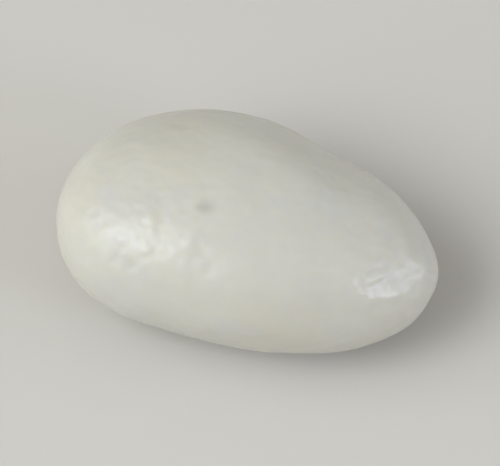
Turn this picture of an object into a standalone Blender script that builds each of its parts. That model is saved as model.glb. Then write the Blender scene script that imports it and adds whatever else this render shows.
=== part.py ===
"""A yogurt covered almond: one panned sweet, its nut wholly hidden under a thick white coat.

It lies on its flatter side, broad end at -X and narrow tip at +X, on a small flat spot.
The origin is under the middle of its box, on the surface that it rests on. Metres, +Z up.

Run it with: blender --background --python part.py
"""

import math
from typing import NamedTuple

import bmesh
import bpy
from mathutils import Matrix, Vector, noise

# Driving dimensions of the coated sweet, in metres
LENGTH = 0.0274
WIDTH = 0.0172
THICKNESS = 0.0136

# How the outline departs from an ellipse, as shares of the half width at that station
TAPER_PLAN = 0.142
TAPER_SIDE = 0.165
BLUNT_ENDS = 0.025
# The spine bows sideways, so that one long side is fuller than the other
BOW = 0.083 * WIDTH / 2
# 2 is an ellipse, and more is squarer
SECTION_POWER = 2.12
# The underside is a little flatter than the top
UNDERSIDE_HEIGHT = 0.95
# The tip dips a little, which brings the resting spot under the centre of mass
TIP_DIP = math.radians(2.0)

# The coat's broad swells and hollows, which every tumbled piece has
UNDULATIONS = (
    # wavelength, height, seed
    (0.0074, 0.00026, 3.7),
    (0.0036, 0.00009, 11.2),
)

# The flat spot is cut this far above the lowest point
REST_DEPTH = 0.00016
# A point this near the cutting plane counts as on it
CUT_SLACK = 1e-7

# Each subdivision of the icosphere makes four triangles of one
SUBDIVISIONS = 5

COAT_COLOUR = (0.69, 0.685, 0.61, 1.0)
COAT_ROUGHNESS = 0.34
COAT_SCATTER = 0.0011


class Dent(NamedTuple):
    """A shallow hollow, or with a negative depth a swell.

    station runs from -1 at the broad end to 1 at the tip, and angle goes round the spine in
    degrees, from +Y by +Z. At its reach the dent has an eighth of its depth.
    """

    station: float
    angle: float
    reach: float
    depth: float


DENTS = (
    # The long back flank is flat before the tip's shoulder
    Dent(0.42, 36, 0.0080, 0.00051),
    Dent(0.64, 25, 0.0030, -0.00014),
    # The front flank is flat at the broad end and full toward the tip
    Dent(-0.30, 208, 0.0056, 0.00055),
    Dent(0.62, 208, 0.0046, -0.00051),
    # The broad end's full front corner
    Dent(-0.95, 180, 0.0040, -0.00008),
    # The tip is pinched on both sides, above a full front corner
    Dent(0.91, 30, 0.0030, 0.00014),
    Dent(0.985, 215, 0.0020, 0.00032),
    Dent(0.86, 225, 0.0034, -0.00012),
    # Shallow dimples on the top
    Dent(-0.42, 62, 0.0036, 0.00016),
    Dent(0.18, 118, 0.0030, 0.00011),
    Dent(0.78, 122, 0.0017, 0.00012),
    Dent(-0.70, 140, 0.0026, -0.00013),
    # One dimple underneath
    Dent(0.55, 300, 0.0030, 0.00013),
)
# How fast a dent fades out from its centre
DENT_FALL = math.log(8)


def clear_scene():
    for leftover in list(bpy.data.objects):
        bpy.data.objects.remove(leftover, do_unlink=True)


def taper(station, narrowing):
    """How wide the form is at a station, against an ellipse through the same length and width."""
    return 1 - narrowing * station + BLUNT_ENDS * station**2


def form_point(station, ring, angle):
    """The smooth form's surface point. ring is the unit sphere's own radius at that station."""
    across, up = math.cos(angle), math.sin(angle)
    square = (abs(across) ** SECTION_POWER + abs(up) ** SECTION_POWER) ** (-1 / SECTION_POWER)
    half_width = WIDTH / 2 * ring * taper(station, TAPER_PLAN)
    half_height = THICKNESS / 2 * ring * taper(station, TAPER_SIDE)
    if up < 0:
        half_height *= UNDERSIDE_HEIGHT
    return Vector(
        (
            LENGTH / 2 * station,
            half_width * across * square - BOW * station**2,
            half_height * up * square,
        )
    )


def dent_centre(dent):
    ring = math.sqrt(1 - dent.station**2)
    return form_point(dent.station, ring, math.radians(dent.angle))


def dent_depth(point, dent, centre):
    """A bell-shaped dip round the dent's centre."""
    away = (point - centre).length / dent.reach
    return dent.depth * math.exp(-DENT_FALL * away**2)


def undulation(point):
    """The height of the coat's swells and hollows at a point."""
    height = 0.0
    for wavelength, rise, seed in UNDULATIONS:
        height += rise * noise.noise(point / wavelength + Vector((seed, seed, seed)))
    return height


def shape_sweet(bm):
    """Turns a unit icosphere into the sweet."""
    bmesh.ops.create_icosphere(bm, subdivisions=SUBDIVISIONS, radius=1)
    for vert in bm.verts:
        ring = math.hypot(vert.co.y, vert.co.z)
        vert.co = form_point(vert.co.x, ring, math.atan2(vert.co.z, vert.co.y))
    bm.normal_update()
    centres = [dent_centre(dent) for dent in DENTS]
    moved = []
    for vert in bm.verts:
        dip = sum(dent_depth(vert.co, dent, centre) for dent, centre in zip(DENTS, centres))
        moved.append(vert.co + vert.normal * (undulation(vert.co) - dip))
    for vert, place in zip(bm.verts, moved):
        vert.co = place


def set_down(bm):
    """Tips the sweet as it lies, cuts its flat resting spot and moves the origin under its middle."""
    bmesh.ops.rotate(bm, verts=bm.verts, matrix=Matrix.Rotation(TIP_DIP, 3, "Y"))
    floor = min(vert.co.z for vert in bm.verts) + REST_DEPTH
    cut = bmesh.ops.bisect_plane(
        bm,
        geom=[*bm.verts, *bm.edges, *bm.faces],
        plane_co=(0, 0, floor),
        plane_no=(0, 0, 1),
        dist=CUT_SLACK,
        clear_inner=True,
    )
    rim = [edge for edge in cut["geom_cut"] if isinstance(edge, bmesh.types.BMEdge)]
    for edge in rim:
        edge.smooth = False
    bmesh.ops.contextual_create(bm, geom=rim)
    low_x, high_x = (pick(vert.co.x for vert in bm.verts) for pick in (min, max))
    low_y, high_y = (pick(vert.co.y for vert in bm.verts) for pick in (min, max))
    middle = Vector(((low_x + high_x) / 2, (low_y + high_y) / 2, floor))
    bmesh.ops.translate(bm, verts=bm.verts, vec=-middle)
    bmesh.ops.recalc_face_normals(bm, faces=bm.faces)
    for face in bm.faces:
        face.smooth = True


def coat_material():
    """Creamy white, satin, and a little translucent."""
    material = bpy.data.materials.new("yogurt_coat")
    material.use_nodes = True
    shader = material.node_tree.nodes["Principled BSDF"]
    shader.inputs["Base Color"].default_value = COAT_COLOUR
    shader.inputs["Roughness"].default_value = COAT_ROUGHNESS
    shader.inputs["Metallic"].default_value = 0.0
    shader.inputs["Subsurface Weight"].default_value = 1.0
    shader.inputs["Subsurface Scale"].default_value = COAT_SCATTER
    material.diffuse_color = COAT_COLOUR
    return material


def build_sweet():
    mesh = bpy.data.meshes.new("yogurt_almond")
    bm = bmesh.new()
    shape_sweet(bm)
    set_down(bm)
    bm.to_mesh(mesh)
    bm.free()
    mesh.materials.append(coat_material())
    sweet = bpy.data.objects.new("yogurt_almond", mesh)
    bpy.context.scene.collection.objects.link(sweet)


clear_scene()
build_sweet()
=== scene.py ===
"""Yogurt covered almond: the coat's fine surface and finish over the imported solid, and a plain stage.

Run it as a script in Blender. Metres, +Z up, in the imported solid's own frame: the broad end is at
-X, the tip at +X and the resting spot at Z = 0.
"""

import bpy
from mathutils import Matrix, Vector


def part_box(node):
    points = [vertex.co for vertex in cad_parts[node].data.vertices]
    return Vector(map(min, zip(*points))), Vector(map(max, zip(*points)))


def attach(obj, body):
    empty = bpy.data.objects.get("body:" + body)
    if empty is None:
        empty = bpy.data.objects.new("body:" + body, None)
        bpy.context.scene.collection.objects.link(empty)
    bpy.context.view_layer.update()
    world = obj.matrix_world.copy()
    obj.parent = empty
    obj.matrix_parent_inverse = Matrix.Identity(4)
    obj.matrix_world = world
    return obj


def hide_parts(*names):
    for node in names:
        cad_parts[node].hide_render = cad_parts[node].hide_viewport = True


bl_info = {
    "name": "Yogurt Covered Almond",
    "version": (1, 0, 0),
    "blender": (4, 5, 0),
    "location": "3D View > Sidebar > Almond",
    "description": "Models one yogurt covered almond over its packed solid, with its stage",
    "category": "Object",
}

import math
import random
from typing import NamedTuple

import bmesh
import bpy
from bpy.props import FloatProperty, FloatVectorProperty, IntProperty, PointerProperty
from mathutils import Matrix, Vector, kdtree

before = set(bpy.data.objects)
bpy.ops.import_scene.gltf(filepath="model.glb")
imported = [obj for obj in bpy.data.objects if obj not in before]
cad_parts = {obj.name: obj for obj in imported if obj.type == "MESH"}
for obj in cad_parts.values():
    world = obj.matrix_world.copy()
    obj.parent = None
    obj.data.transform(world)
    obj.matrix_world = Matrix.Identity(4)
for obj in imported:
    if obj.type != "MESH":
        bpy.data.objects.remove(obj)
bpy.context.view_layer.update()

NODE = "yogurt_almond"
LOW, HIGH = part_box(NODE)
MIDDLE = (LOW + HIGH) / 2
HALF = (HIGH - LOW) / 2
MILLIMETRE = 0.001


class Relief(NamedTuple):
    """One layer of the coat's relief, from noise of that wavelength and height.

    stretch draws the noise out along X, and mask is the vertex group that it is held to.
    """

    name: str
    wavelength: float
    height: float
    stretch: float
    mask: str


SWELL_WAVELENGTH = 0.0030
LUMP_WAVELENGTH = 0.0009
WRINKLE_WAVELENGTH = 0.0007
WRINKLE_STRETCH = 3.5
PEEL_WAVELENGTH = 0.00060
# The relief starts this far above the resting spot
REST_CLEARANCE = 0.0001
# Where the wrinkles start and where they are full, as shares of the way from the middle to an end
WRINKLES_START, WRINKLES_FULL = 0.5, 0.95


class Mark(NamedTuple):
    """A pit in the coat, or with a negative depth a bump. It is a line if its ends differ.

    Its ends are across and up from the sweet's middle, as the camera sees it, in millimetres, and
    so are its reach and its depth.
    """

    start: tuple
    end: tuple
    reach: float
    depth: float


def pit(across, up, reach, depth):
    return Mark((across, up), (across, up), reach, depth)


# The pinhole above the middle: how far across and up it is, and how wide its painted shade spreads, in
# millimetres
PINHOLE = (-3.0, 1.85)
PINHOLE_SHADE_REACH = 0.95

# The marks that show on the side toward the camera
MARKS = (
    # The pinhole and the shallow trough that runs up from it
    pit(*PINHOLE, 0.75, 0.065),
    pit(-3.4, 1.8, 0.55, 0.040),
    Mark((-3.0, 2.4), (-3.1, 3.3), 0.60, 0.025),
    # The dimples among the broad end's speckles
    pit(-8.3, -2.2, 0.9, 0.062),
    pit(-9.3, -1.7, 0.9, 0.062),
    pit(-10.8, -1.5, 0.8, 0.055),
    pit(-11.9, -0.7, 0.8, 0.050),
    pit(-6.4, 0.0, 0.7, 0.032),
    pit(-6.0, -0.6, 0.6, 0.028),
    pit(-10.8, 0.4, 0.7, 0.045),
    pit(-10.8, 1.5, 0.7, 0.045),
    pit(-8.8, 1.5, 0.7, 0.030),
    pit(-2.85, -2.5, 0.8, 0.026),
    pit(-3.9, -3.5, 1.0, 0.026),
    # The bumps between them
    pit(-8.85, -0.45, 0.7, -0.045),
    pit(-9.9, 0.2, 0.7, -0.038),
    pit(-6.95, 1.1, 0.8, -0.050),
    pit(-7.3, -1.1, 0.8, -0.042),
    pit(-5.1, -1.1, 0.9, -0.034),
    pit(-4.2, -0.6, 0.7, -0.028),
    pit(-11.2, -2.4, 0.7, -0.040),
    pit(-11.6, 0.9, 0.7, -0.030),
    pit(-9.6, 1.45, 0.6, -0.026),
    pit(-1.9, -1.3, 1.1, -0.014),
    pit(-3.4, -4.2, 0.9, -0.016),
    # The wrinkles on the tip and the dimples between them
    Mark((8.1, -3.2), (9.2, -2.85), 0.55, -0.040),
    Mark((8.3, -4.5), (10.2, -4.3), 0.62, -0.042),
    Mark((9.5, -2.6), (9.6, -3.8), 0.45, -0.016),
    pit(10.4, -2.65, 0.6, -0.026),
    pit(7.5, -3.2, 0.6, 0.030),
    pit(7.55, -2.4, 0.6, 0.018),
    pit(9.1, -3.5, 0.6, 0.018),
    Mark((7.8, -3.9), (8.6, -3.8), 0.45, 0.024),
    pit(9.1, -5.1, 0.7, 0.030),
    pit(11.4, -2.6, 0.6, 0.030),
    pit(11.3, -3.8, 0.9, 0.026),
    pit(9.5, -6.4, 0.7, 0.024),
)
# A line is pressed at points this far apart
LINE_STEP = 0.00012

# The marks strewn on the other sides: reach and depth in millimetres, length in metres
STREWN_REACH = (0.6, 1.5)
STREWN_DEPTH = (0.012, 0.038)
STREWN_LENGTH = (0.0008, 0.0022)
# Two pits are strewn for each bump, and one mark in four is a line of this reach
PIT_OR_BUMP = (1, 1, -1)
SPOT_OR_LINE = (0, 0, 0, 1)
LINE_REACH = 0.6
# How far a line may lean from +X, sideways and upwards
LINE_LEAN = (0.5, 0.4)
# None is strewn where the way out from the middle points this much to the camera, or this far down
SEEN_SHARE = 0.55
UNDERSIDE = -0.75


class Patches(NamedTuple):
    """Where a patchy finish shows: its noise, and the values at which it starts and is full."""

    wavelength: float
    detail: float
    start: float
    full: float


CREAM_PATCHES = Patches(0.0075, 2, 0.42, 0.68)
GREY_PATCHES = Patches(0.0045, 3, 0.50, 0.75)
DULL_PATCHES = Patches(0.0022, 3, 0.35, 0.65)
# The fine grain of the coat and of its gloss: the shader's socket, the wavelength and the height
GRAINS = (
    ("Normal", 0.00032, 0.000004),
    ("Coat Normal", 0.00050, 0.000045),
)
GRAIN_DETAIL = 2
# Red light travels furthest inside the coat, and blue the least
SCATTER_SHARES = (1.0, 0.85, 0.6)


class Softbox(NamedTuple):
    """A soft oval lamp, so many degrees right of the camera and above it, seen from the sweet."""

    name: str
    across: float
    rise: float
    width: float
    height: float
    power: float
    colour: tuple


# The lamps are a little cooler than the room, those on the right the most
LEFT_LIGHT = (0.96, 0.98, 1.0)
RIGHT_LIGHT = (0.81, 0.845, 1.0)
SOFTBOXES = (
    Softbox("left_bank", -49, 10, 1.00, 0.80, 3.86, LEFT_LIGHT),
    Softbox("left_softbox", -35, 8, 0.34, 0.34, 1.18, LEFT_LIGHT),
    Softbox("right_softbox", 47, -14, 0.22, 0.22, 0.84, RIGHT_LIGHT),
    Softbox("right_bank", 76, 20, 0.50, 0.30, 1.18, RIGHT_LIGHT),
)
LAMP_DISTANCE = 0.7
FLOOR_RADIUS = 3


class FormSettings(bpy.types.PropertyGroup):
    cage_cuts: IntProperty(
        name="Cage cuts", description="Cuts along each side of the cube that starts the form",
        default=15, min=4,
    )
    first_levels: IntProperty(
        name="First levels", description="Subdivisions before the broad relief", default=2, min=1,
    )
    last_levels: IntProperty(
        name="Last levels", description="Subdivisions before the fine relief", default=1, min=0,
    )
    swell_height: FloatProperty(
        name="Swell height", description="Height of the broad swells of the coat",
        default=0.00012, unit="LENGTH",
    )
    lump_height: FloatProperty(
        name="Lump height", description="Height of the millimetre-wide lumps",
        default=0.00006, unit="LENGTH",
    )
    peel_height: FloatProperty(
        name="Peel height", description="Height of the fine orange peel",
        default=0.000030, unit="LENGTH",
    )
    wrinkle_height: FloatProperty(
        name="Wrinkle height", description="Height of the long wrinkles near both ends",
        default=0.00005, unit="LENGTH",
    )
    mark_count: IntProperty(
        name="Marks", description="How many marks are strewn, less those that fall on the seen side",
        default=90, min=0,
    )
    seed: IntProperty(
        name="Seed", description="Another seed strews the marks another way", default=4,
    )
    rest_fade: FloatProperty(
        name="Rest fade", description="Height at which the relief is full above the resting spot",
        default=0.0010, unit="LENGTH",
    )


class CoatSettings(bpy.types.PropertyGroup):
    milk: FloatVectorProperty(
        name="Milk white", description="The thick coat's colour", subtype="COLOR", size=4,
        default=(0.595, 0.598, 0.551, 1.0), min=0, max=1,
    )
    cream: FloatVectorProperty(
        name="Cream", description="The coat's warmer patches", subtype="COLOR", size=4,
        default=(0.598, 0.592, 0.529, 1.0), min=0, max=1,
    )
    grey: FloatVectorProperty(
        name="Cool white", description="The coat's cooler, greyer patches", subtype="COLOR", size=4,
        default=(0.576, 0.582, 0.557, 1.0), min=0, max=1,
    )
    # Painted shade: the darker colour the pinhole is painted with, standing in for the shade inside the
    # pit
    pinhole: FloatVectorProperty(
        name="Pinhole", description="The coat's colour in the pinhole", subtype="COLOR", size=4,
        default=(0.50, 0.50, 0.46, 1.0), min=0, max=1,
    )
    scatter: FloatProperty(
        name="Scatter", description="How far light travels inside the coat",
        default=0.0013, unit="LENGTH",
    )
    gloss_rough: FloatProperty(
        name="Dull roughness", description="Roughness of the dull patches",
        default=0.50, min=0, max=1,
    )
    gloss_smooth: FloatProperty(
        name="Polished roughness", description="Roughness of the polished patches",
        default=0.38, min=0, max=1,
    )


class StageSettings(bpy.types.PropertyGroup):
    turn: FloatProperty(
        name="Camera turn", description="The camera's turn round the sweet",
        default=math.radians(13), subtype="ANGLE",
    )
    rise: FloatProperty(
        name="Camera rise", description="The camera's angle above the floor",
        default=math.radians(57), subtype="ANGLE",
    )
    distance: FloatProperty(
        name="Camera distance", description="From the sweet's middle to the camera",
        default=0.45, unit="LENGTH",
    )
    fill: FloatProperty(
        name="Fill", description="The sweet's length as a share of the picture's width",
        default=0.78, min=0.1, max=1,
    )
    floor_colour: FloatVectorProperty(
        name="Floor", description="The floor's colour", subtype="COLOR", size=4,
        default=(0.580, 0.572, 0.547, 1.0), min=0, max=1,
    )
    sky_light: FloatVectorProperty(
        name="Light from above", description="The room's light from straight above",
        subtype="COLOR", size=4, default=(0.545, 0.535, 0.500, 1.0), min=0,
    )
    wall_light: FloatVectorProperty(
        name="Light from the walls", description="The room's light from the side",
        subtype="COLOR", size=4, default=(0.160, 0.126, 0.050, 1.0), min=0,
    )


class View(NamedTuple):
    """The way from the sweet to the camera, and the ways that the camera sees as right and up."""

    back: Vector
    right: Vector
    up: Vector


def camera_view(stage):
    turn, rise = stage.turn, stage.rise
    level = math.cos(rise)
    back = Vector((math.sin(turn) * level, -math.cos(turn) * level, math.sin(rise)))
    right = Vector((math.cos(turn), math.sin(turn), 0))
    return View(back, right, back.cross(right))


def select_only(obj):
    bpy.ops.object.select_all(action="DESELECT")
    obj.select_set(True)
    bpy.context.view_layer.objects.active = obj


def apply_modifier(obj, modifier):
    select_only(obj)
    bpy.ops.object.modifier_apply(modifier=modifier.name)


def ramp(value, start, end):
    """0 before start, 1 after end and a smooth rise between."""
    share = min(1.0, max(0.0, (value - start) / (end - start)))
    return share * share * (3 - 2 * share)


def add_cage(form):
    """A cube of many faces rounded into a ball and drawn out to the sweet's size."""
    bpy.ops.object.select_all(action="DESELECT")
    bpy.ops.mesh.primitive_cube_add(size=2 * HALF.z, location=MIDDLE)
    sweet = bpy.context.object
    sweet.name = "coated_almond"
    sweet.data.name = "coated_almond"
    bpy.ops.object.mode_set(mode="EDIT")
    bpy.ops.mesh.subdivide(number_cuts=form.cage_cuts)
    bpy.ops.transform.tosphere(value=1)
    bpy.ops.object.mode_set(mode="OBJECT")
    stretch = [2 * half / side for half, side in zip(HALF, sweet.dimensions)]
    bpy.ops.object.mode_set(mode="EDIT")
    bpy.ops.transform.resize(value=stretch, center_override=MIDDLE)
    bpy.ops.object.mode_set(mode="OBJECT")
    bpy.ops.object.transform_apply(location=True, rotation=True, scale=True)
    return sweet


def fit_to_solid(sweet):
    """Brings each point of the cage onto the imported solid."""
    fit = sweet.modifiers.new("Fit", "SHRINKWRAP")
    fit.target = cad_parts[NODE]
    fit.wrap_method = "NEAREST_SURFACEPOINT"
    apply_modifier(sweet, fit)


def subdivide(sweet, levels):
    smooth = sweet.modifiers.new("Smooth", "SUBSURF")
    smooth.levels = smooth.render_levels = levels
    apply_modifier(sweet, smooth)


def weigh(sweet, name, weight_at):
    """Makes a vertex group whose weight at each point is a function of the point's place."""
    group = sweet.vertex_groups.new(name=name)
    for vert in sweet.data.vertices:
        group.add([vert.index], weight_at(vert.co), "REPLACE")


def weigh_relief(sweet, form):
    """Makes the groups that keep the relief off the resting spot, and the wrinkles to the ends."""

    def above_rest(point):
        return ramp(point.z, REST_CLEARANCE, form.rest_fade)

    def near_ends(point):
        return ramp(abs(point.x) / HALF.x, WRINKLES_START, WRINKLES_FULL) * above_rest(point)

    weigh(sweet, "above rest", above_rest)
    weigh(sweet, "ends", near_ends)


def add_relief(sweet, layer):
    """Cuts or raises one layer of noise along the normals."""
    noise = bpy.data.textures.new(layer.name, "CLOUDS")
    noise.noise_basis = "ORIGINAL_PERLIN"
    noise.noise_scale = layer.wavelength
    noise.noise_depth = 0
    bpy.ops.object.select_all(action="DESELECT")
    bpy.ops.object.empty_add(location=MIDDLE)
    guide = bpy.context.object
    guide.scale = (layer.stretch, 1, 1)
    bpy.context.view_layer.update()
    lift = sweet.modifiers.new(layer.name, "DISPLACE")
    lift.texture = noise
    lift.texture_coords = "OBJECT"
    lift.texture_coords_object = guide
    lift.direction = "NORMAL"
    lift.strength = layer.height
    lift.mid_level = 0.5
    lift.vertex_group = layer.mask
    apply_modifier(sweet, lift)
    bpy.data.objects.remove(guide)
    bpy.data.textures.remove(noise)


class Presser:
    """Presses marks into the fine mesh, each by a proportional move of the points under it."""

    def __init__(self, sweet):
        self.mesh = sweet.data
        self.tree = kdtree.KDTree(len(self.mesh.vertices))
        for vert in self.mesh.vertices:
            self.tree.insert(vert.co, vert.index)
        self.tree.balance()

    def press(self, points, reach, depth):
        bpy.ops.mesh.select_all(action="DESELECT")
        bm = bmesh.from_edit_mesh(self.mesh)
        bm.verts.ensure_lookup_table()
        under = {self.tree.find(point)[1] for point in points}
        normal = Vector()
        for index in under:
            bm.verts[index].select = True
            normal += bm.verts[index].normal
        bmesh.update_edit_mesh(self.mesh, loop_triangles=False, destructive=False)
        bpy.ops.transform.translate(
            value=-depth * normal.normalized(),
            use_proportional_edit=True,
            proportional_edit_falloff="SMOOTH",
            proportional_size=reach,
        )


def along(start, end):
    """Points from start to end."""
    count = max(1, round((end - start).length / LINE_STEP))
    return [start.lerp(end, index / count) for index in range(count + 1)]


def seen_place(sweet, view, across_up):
    """Where the camera's line of sight meets the sweet, so many millimetres across and up."""
    across, up = (MILLIMETRE * share for share in across_up)
    far = 2 * HALF.x
    start = MIDDLE + view.right * across + view.up * up + view.back * far
    hit, place, _, _ = sweet.ray_cast(start, -view.back)
    if not hit:
        raise RuntimeError(f"no part of the sweet is at {across_up}")
    return place


def press_seen_marks(sweet, presser, view):
    places = [[seen_place(sweet, view, end) for end in (mark.start, mark.end)] for mark in MARKS]
    bpy.ops.object.mode_set(mode="EDIT")
    for mark, (start, end) in zip(MARKS, places):
        presser.press(along(start, end), MILLIMETRE * mark.reach, MILLIMETRE * mark.depth)
    bpy.ops.object.mode_set(mode="OBJECT")


def strew_marks(form, presser, back):
    """Presses marks at random all over, but for the side that the camera sees and the underside."""
    chance = random.Random(form.seed)
    lean_aside, lean_up = LINE_LEAN
    bpy.ops.object.mode_set(mode="EDIT")
    for _ in range(form.mark_count):
        direction = Vector([chance.gauss(0, 1) for _ in range(3)]).normalized()
        start = MIDDLE + Vector([half * share for half, share in zip(HALF, direction)])
        reach = chance.uniform(*STREWN_REACH)
        depth = chance.uniform(*STREWN_DEPTH) * chance.choice(PIT_OR_BUMP)
        length = chance.choice(SPOT_OR_LINE) * chance.uniform(*STREWN_LENGTH)
        aside, upwards = chance.uniform(-lean_aside, lean_aside), chance.uniform(-lean_up, lean_up)
        if direction.dot(back) > SEEN_SHARE or direction.z < UNDERSIDE:
            continue
        if length:
            reach = LINE_REACH
        end = start + Vector((1, aside, upwards)).normalized() * length
        presser.press(along(start, end), MILLIMETRE * reach, MILLIMETRE * depth)
    bpy.ops.object.mode_set(mode="OBJECT")


def shade_pinhole(sweet, view):
    """Stores how near each point is to the pinhole, for the painted shade that the material puts there.
    """
    centre = seen_place(sweet, view, PINHOLE)
    near = sweet.data.attributes.new("pinhole", "FLOAT", "POINT")
    for vert, share in zip(sweet.data.vertices, near.data):
        share.value = 1 - ramp((vert.co - centre).length, 0, MILLIMETRE * PINHOLE_SHADE_REACH)


def coat_material(coat):
    """Creamy white and satin, a little translucent, with patches of tint and polish, and painted shade
    darkening the pinhole.
    """
    material = bpy.data.materials.new("yogurt_coat_and_pinhole_shade")
    material.use_nodes = True
    nodes, links = material.node_tree.nodes, material.node_tree.links
    shader = nodes["Principled BSDF"]
    place = nodes.new("ShaderNodeTexCoord")

    def noise(wavelength, detail):
        node = nodes.new("ShaderNodeTexNoise")
        node.inputs["Scale"].default_value = 1 / wavelength
        node.inputs["Detail"].default_value = detail
        links.new(place.outputs["Object"], node.inputs["Vector"])
        return node.outputs["Fac"]

    def spread(patches, outside=0.0, inside=1.0):
        node = nodes.new("ShaderNodeMapRange")
        node.interpolation_type = "SMOOTHSTEP"
        limits = {
            "From Min": patches.start, "From Max": patches.full, "To Min": outside, "To Max": inside,
        }
        for socket, limit in limits.items():
            node.inputs[socket].default_value = limit
        links.new(noise(patches.wavelength, patches.detail), node.inputs["Value"])
        return node.outputs["Result"]

    def mix(factor, first, second):
        """Mixes a colour or a socket with a colour."""
        node = nodes.new("ShaderNodeMix")
        node.data_type = "RGBA"
        links.new(factor, node.inputs["Factor"])
        if isinstance(first, bpy.types.NodeSocket):
            links.new(first, node.inputs["A"])
        else:
            node.inputs["A"].default_value = first
        node.inputs["B"].default_value = second
        return node.outputs["Result"]

    tinted = mix(spread(CREAM_PATCHES), coat.milk, coat.cream)
    tinted = mix(spread(GREY_PATCHES), tinted, coat.grey)
    # Painted shade: near the pinhole the base colour is mixed toward a darker grey, standing in for the
    # shade in the pit
    near = nodes.new("ShaderNodeAttribute")
    near.attribute_name = "pinhole"
    links.new(mix(near.outputs["Fac"], tinted, coat.pinhole), shader.inputs["Base Color"])
    roughness = spread(DULL_PATCHES, coat.gloss_smooth, coat.gloss_rough)
    links.new(roughness, shader.inputs["Roughness"])
    shader.inputs["Subsurface Weight"].default_value = 1.0
    shader.inputs["Subsurface Radius"].default_value = SCATTER_SHARES
    shader.inputs["Subsurface Scale"].default_value = coat.scatter
    shader.inputs["IOR"].default_value = 1.52
    shader.inputs["Coat Weight"].default_value = 0.5
    shader.inputs["Coat Roughness"].default_value = 0.20
    shader.inputs["Coat IOR"].default_value = 1.50
    for socket, wavelength, height in GRAINS:
        bump = nodes.new("ShaderNodeBump")
        bump.inputs["Strength"].default_value = 1.0
        bump.inputs["Distance"].default_value = height
        links.new(noise(wavelength, GRAIN_DETAIL), bump.inputs["Height"])
        links.new(bump.outputs["Normal"], shader.inputs[socket])
    return material


class ALMOND_OT_coated_almond(bpy.types.Operator):
    """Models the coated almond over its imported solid"""

    bl_idname = "almond.coated_almond"
    bl_label = "Coated almond"

    def execute(self, context):
        scene = context.scene
        form, coat = scene.almond_form, scene.almond_coat
        sweet = add_cage(form)
        fit_to_solid(sweet)
        subdivide(sweet, form.first_levels)
        weigh_relief(sweet, form)
        for layer in (
            Relief("swells", SWELL_WAVELENGTH, form.swell_height, 1, "above rest"),
            Relief("lumps", LUMP_WAVELENGTH, form.lump_height, 1, "above rest"),
            Relief("wrinkles", WRINKLE_WAVELENGTH, form.wrinkle_height, WRINKLE_STRETCH, "ends"),
        ):
            add_relief(sweet, layer)
        subdivide(sweet, form.last_levels)
        add_relief(sweet, Relief("peel", PEEL_WAVELENGTH, form.peel_height, 1, "above rest"))
        select_only(sweet)
        presser = Presser(sweet)
        view = camera_view(scene.almond_stage)
        press_seen_marks(sweet, presser, view)
        strew_marks(form, presser, view.back)
        shade_pinhole(sweet, view)
        bpy.ops.object.shade_smooth()
        sweet.data.materials.append(coat_material(coat))
        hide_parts(NODE)
        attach(sweet, "root")
        return {"FINISHED"}


def add_floor(colour):
    bpy.ops.object.select_all(action="DESELECT")
    bpy.ops.mesh.primitive_circle_add(
        vertices=96, radius=FLOOR_RADIUS, fill_type="NGON", location=(0, 0, 0)
    )
    floor = bpy.context.object
    floor.name = "floor"
    paper = bpy.data.materials.new("floor_paper")
    paper.use_nodes = True
    shader = paper.node_tree.nodes["Principled BSDF"]
    shader.inputs["Base Color"].default_value = colour
    shader.inputs["Roughness"].default_value = 0.9
    shader.inputs["Specular IOR Level"].default_value = 0.1
    floor.data.materials.append(paper)


def add_softbox(softbox, view):
    """Stands a softbox at its place round the sweet, turned to it."""
    across, rise = (math.tan(math.radians(angle)) for angle in (softbox.across, softbox.rise))
    direction = (view.back + view.right * across + view.up * rise).normalized()
    side = view.up.cross(direction).normalized()
    bpy.ops.object.select_all(action="DESELECT")
    bpy.ops.object.light_add(type="AREA", location=MIDDLE + direction * LAMP_DISTANCE)
    lamp = bpy.context.object
    lamp.name = softbox.name
    lamp.data.shape = "ELLIPSE"
    lamp.data.size, lamp.data.size_y = softbox.width, softbox.height
    lamp.data.energy = softbox.power
    lamp.data.color = softbox.colour
    lamp.rotation_mode = "QUATERNION"
    axes = Matrix((side, direction.cross(side), direction)).transposed()
    lamp.rotation_quaternion = axes.to_quaternion()
    lamp.visible_camera = False


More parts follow.
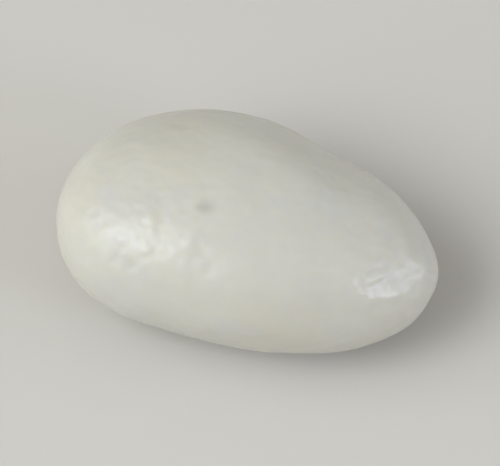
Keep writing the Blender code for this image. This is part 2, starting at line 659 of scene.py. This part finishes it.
def light_room(scene, wall_light, sky_light):
    """Gives the room a light that goes from the walls' to the ceiling's with height."""
    world = bpy.data.worlds.new("room")
    scene.world = world
    world.use_nodes = True
    nodes, links = world.node_tree.nodes, world.node_tree.links
    toward = nodes.new("ShaderNodeTexCoord")
    height = nodes.new("ShaderNodeSeparateXYZ")
    light = nodes.new("ShaderNodeValToRGB")
    links.new(toward.outputs["Generated"], height.inputs["Vector"])
    links.new(height.outputs["Z"], light.inputs["Fac"])
    for end, colour in zip(light.color_ramp.elements, (wall_light, sky_light)):
        end.color = colour
    links.new(light.outputs["Color"], nodes["Background"].inputs["Color"])


def add_camera(scene, stage, view):
    bpy.ops.object.select_all(action="DESELECT")
    bpy.ops.object.camera_add(location=MIDDLE + view.back * stage.distance)
    camera = bpy.context.object
    camera.rotation_mode = "QUATERNION"
    camera.rotation_quaternion = view.back.to_track_quat("Z", "Y")
    picture_width = (HIGH.x - LOW.x) / stage.fill
    camera.data.lens = stage.distance * camera.data.sensor_width / picture_width
    camera.data.clip_start = 0.01
    scene.camera = camera
    scene.view_settings.view_transform = "Standard"


class ALMOND_OT_stage(bpy.types.Operator):
    """Adds the floor, the soft lights and the camera"""

    bl_idname = "almond.stage"
    bl_label = "Stage"

    def execute(self, context):
        stage = context.scene.almond_stage
        view = camera_view(stage)
        add_floor(stage.floor_colour)
        for softbox in SOFTBOXES:
            add_softbox(softbox, view)
        light_room(context.scene, stage.wall_light, stage.sky_light)
        add_camera(context.scene, stage, view)
        return {"FINISHED"}


class ALMOND_PT_panel(bpy.types.Panel):
    bl_label = "Almond"
    bl_idname = "ALMOND_PT_panel"
    bl_space_type = "VIEW_3D"
    bl_region_type = "UI"
    bl_category = "Almond"

    def draw(self, context):
        for maker in (ALMOND_OT_coated_almond, ALMOND_OT_stage):
            self.layout.operator(maker.bl_idname)


CLASSES = (
    FormSettings,
    CoatSettings,
    StageSettings,
    ALMOND_OT_coated_almond,
    ALMOND_OT_stage,
    ALMOND_PT_panel,
)


def register():
    for made in CLASSES:
        bpy.utils.register_class(made)
    bpy.types.Scene.almond_form = PointerProperty(type=FormSettings)
    bpy.types.Scene.almond_coat = PointerProperty(type=CoatSettings)
    bpy.types.Scene.almond_stage = PointerProperty(type=StageSettings)


def unregister():
    del bpy.types.Scene.almond_stage
    del bpy.types.Scene.almond_coat
    del bpy.types.Scene.almond_form
    for made in reversed(CLASSES):
        bpy.utils.unregister_class(made)


def main():
    register()
    bpy.ops.almond.coated_almond()
    bpy.ops.almond.stage()


if __name__ == "__main__":
    main()
